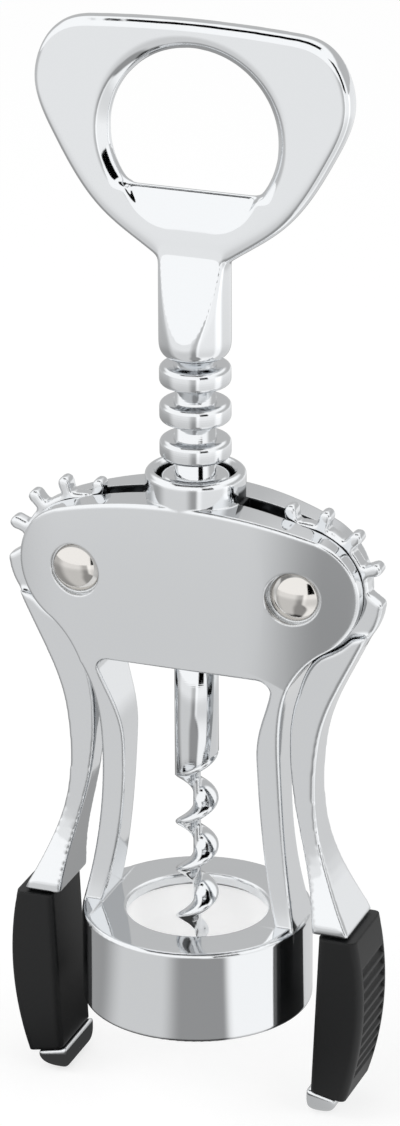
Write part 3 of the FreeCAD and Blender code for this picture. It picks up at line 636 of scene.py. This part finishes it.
def screw():
    """Shank cut on the slant, with the wound blade below and the spindle above."""
    bm = bmesh.new()
    bm.from_mesh(grown_mesh("wound_blade", blade_tree(), finish_on("screw")))
    narrow = SHANK_RADIUS - SHANK_CHAMFER
    cut_end = [(0, SHANK_LOW), (narrow, SHANK_LOW), (SHANK_RADIUS, SHANK_LOW + SHANK_CHAMFER)]
    rest = [(SHANK_RADIUS, SHANK_TOP - SHANK_CHAMFER), (narrow, SHANK_TOP),
            (SPINDLE_RADIUS, SHANK_TOP), (SPINDLE_RADIUS, SPINDLE_TOP), (0, SPINDLE_TOP)]
    rings = turned_shape(bm, cut_end + rest, Matrix())
    for ring in rings[:len(cut_end)]:
        for vert in ring:
            vert.co.z += vert.co.x * SHANK_SLANT
    new_piece("shank_and_worm", finished_mesh(bm, "shank_and_worm"),
              "screw", "handle")


def pieces():
    """Everything that shows in place of a plainer solid."""
    polished_frame()
    buffed("buffed_opener_head", "opener_head", "handle", HEAD_PASSES)
    for side in ("left", "right"):
        buffed("buffed_lever_" + side, "lever_" + side, side + "_lever", LEVER_PASSES)
    rivet("left", -1)
    rivet("right", 1)
    rack()
    screw()


# Studio


def floor_level(tree):
    """Brightness of each spot of the floor, as polished metal sees it: painted shade and
    light.
    """
    place = add(tree, "ShaderNodeTexCoord").outputs["Object"]
    x, y, _ = add(tree, "ShaderNodeSeparateXYZ", {"Vector": place}).outputs
    out = out_from_screw(tree, x, y)
    turn = round_screw(tree, x, y)
    close = fade(tree, out, *FLOOR_CLOSE)
    from_left = formula(tree, ("ADD", turn, ("MULTIPLY", close, SHADE_LEFT_TURN)))
    from_right = formula(tree, ("SUBTRACT", turn, ("MULTIPLY", close, SHADE_RIGHT_TURN)))
    # painted shade: a darker wedge in front of the lens, which ends further right close to the
    # object
    wedge = ("MULTIPLY", fade(tree, from_left, *LENS_SHADE),
             fade(tree, from_right, *LENS_SHADE_END))
    right = ("MULTIPLY", fade(tree, from_right, *RIGHT_GLOW),
             fade(tree, turn, *RIGHT_GLOW_END))
    side = ("MULTIPLY", ("MULTIPLY", fade(tree, turn, *between(*SIDE_SHADE)),
                         ("SUBTRACT", close, 1.0)), SIDE_SHADE_DEPTH)
    level = ("SUBTRACT", fade(tree, out, *FLOOR_OUTWARD), wedge)
    for part in (right, fade(tree, turn, *LEFT_SHADE), fade(tree, out, *FLOOR_PAINTED_SHADOW), side):
        level = ("ADD", level, part)
    return formula(tree, ("MAXIMUM", level, FLOOR_DARKEST))


def pale_floor(height):
    """Plain pale floor: white to the eye, with painted shade near the object that only metal
    sees.
    """
    bpy.ops.mesh.primitive_plane_add(size=FLOOR_SIZE, location=(0, 0, height))
    floor = bpy.context.object
    floor.name = "floor"
    material = bpy.data.materials.new("pale_floor")
    material.use_nodes = True
    tree = material.node_tree
    tree.nodes.clear()
    path = add(tree, "ShaderNodeLightPath").outputs
    shadowed = add(tree, "ShaderNodeBsdfDiffuse", {"Color": linear(FLOOR_TO_EYE)})
    glow = add(tree, "ShaderNodeEmission", {"Strength": FLOOR_GLOW})
    to_eye = add(tree, "ShaderNodeAddShader", {0: shadowed.outputs[0], 1: glow.outputs[0]})
    to_plain = add(tree, "ShaderNodeBsdfDiffuse", {"Color": linear(FLOOR_TO_PLAIN)})
    to_metal = add(tree, "ShaderNodeEmission", {"Strength": floor_level(tree)})
    other = add(tree, "ShaderNodeMixShader", {
        0: path["Is Glossy Ray"], 1: to_plain.outputs[0], 2: to_metal.outputs[0]})
    final = add(tree, "ShaderNodeMixShader", {
        0: path["Is Camera Ray"], 1: other.outputs[0], 2: to_eye.outputs[0]})
    add(tree, "ShaderNodeOutputMaterial", {"Surface": final.outputs[0]})
    floor.data.materials.append(material)


def soft_room():
    """White walls in front, grey behind, a dark strip overhead and a dark stand."""
    world = bpy.data.worlds.new("soft_room")
    bpy.context.scene.world = world
    world.use_nodes = True
    tree = world.node_tree
    tree.nodes.clear()
    direction = add(tree, "ShaderNodeTexCoord").outputs["Generated"]
    x, y, z = add(tree, "ShaderNodeSeparateXYZ", {"Vector": direction}).outputs
    wall = add(tree, "ShaderNodeMix", {
        "Factor": fade(tree, y, *FRONT_HALF), 2: fade(tree, z, *WALL_BEHIND),
        3: WALL_FRONT}).outputs[0]
    overhead = ("MULTIPLY", ("MULTIPLY", fade(tree, y, *between(*OVERHEAD_Y)),
                             fade(tree, x, *between(*OVERHEAD_X))),
                fade(tree, z, *OVERHEAD_Z))
    stand = ("MULTIPLY", fade(tree, round_screw(tree, x, y), *between(*STAND_ROUND)),
             fade(tree, z, *STAND_TOP))
    dark = formula(tree, ("MAXIMUM", overhead, stand))
    seen = formula(tree, ("MULTIPLY", wall, fade(tree, dark, (0.0, 1.0), (1.0, 0.0))))
    path = add(tree, "ShaderNodeLightPath").outputs
    level = add(tree, "ShaderNodeMix", {
        "Factor": path["Is Glossy Ray"], 2: PLAIN_LIGHT, 3: seen})
    light = add(tree, "ShaderNodeBackground", {"Color": WHITE, "Strength": level.outputs[0]})
    backdrop = add(tree, "ShaderNodeBackground", {"Color": WHITE, "Strength": 1.0})
    final = add(tree, "ShaderNodeMixShader", {
        0: path["Is Camera Ray"], 1: light.outputs[0], 2: backdrop.outputs[0]})
    add(tree, "ShaderNodeOutputWorld", {"Surface": final.outputs[0]})


def towards(azimuth, elevation):
    """Direction from the object, by degrees round from the front and degrees up."""
    a, e = math.radians(azimuth), math.radians(elevation)
    return Vector((math.sin(a) * math.cos(e), -math.cos(a) * math.cos(e), math.sin(e)))


def softbox(name, azimuth, elevation, distance, side, power):
    """Square area lamp that faces the middle of the object."""
    lamp = bpy.data.lights.new(name, "AREA")
    lamp.shape = "SQUARE"
    lamp.size = side
    lamp.energy = power
    out = towards(azimuth, elevation)
    box = bpy.data.objects.new(name, lamp)
    box.location = Vector((0, 0, AIM_HEIGHT * MM)) + out * distance
    box.rotation_euler = out.to_track_quat("Z", "Y").to_euler()
    box.visible_glossy = False
    bpy.context.scene.collection.objects.link(box)


def camera():
    """Camera in its place, aimed a little beside the screw."""
    middle = Vector((0, 0, AIM_HEIGHT))
    stand = middle + towards(CAMERA_AZIMUTH, CAMERA_ELEVATION) * CAMERA_DISTANCE
    a = math.radians(CAMERA_AZIMUTH)
    aside = Vector((math.cos(a), math.sin(a), 0)) * AIM_ASIDE
    back = (stand - (middle + aside)).normalized()
    right = Vector((0, 0, 1)).cross(back).normalized()
    up = back.cross(right)
    roll = math.radians(CAMERA_ROLL)
    x_axis = right * math.cos(roll) + up * math.sin(roll)
    y_axis = up * math.cos(roll) - right * math.sin(roll)
    data = bpy.data.cameras.new("camera")
    data.sensor_fit = "VERTICAL"
    data.sensor_height = SENSOR
    data.lens = LENS
    data.clip_start = NEAREST_SEEN * MM
    eye = bpy.data.objects.new("camera", data)
    turn = Matrix((x_axis, y_axis, back)).transposed().to_4x4()
    eye.matrix_world = Matrix.Translation(stand * MM) @ turn
    bpy.context.scene.collection.objects.link(eye)
    bpy.context.scene.camera = eye


def studio():
    """Floor, room, soft lamps and the camera."""
    lowest = min(corner[2] for corner in cad_box)
    pale_floor(lowest - FLOOR_DROP * MM)
    soft_room()
    for lamp in LAMPS:
        softbox(*lamp)
    camera()
    bpy.context.scene.view_settings.view_transform = "Standard"


dress_nodes()
pieces()
studio()
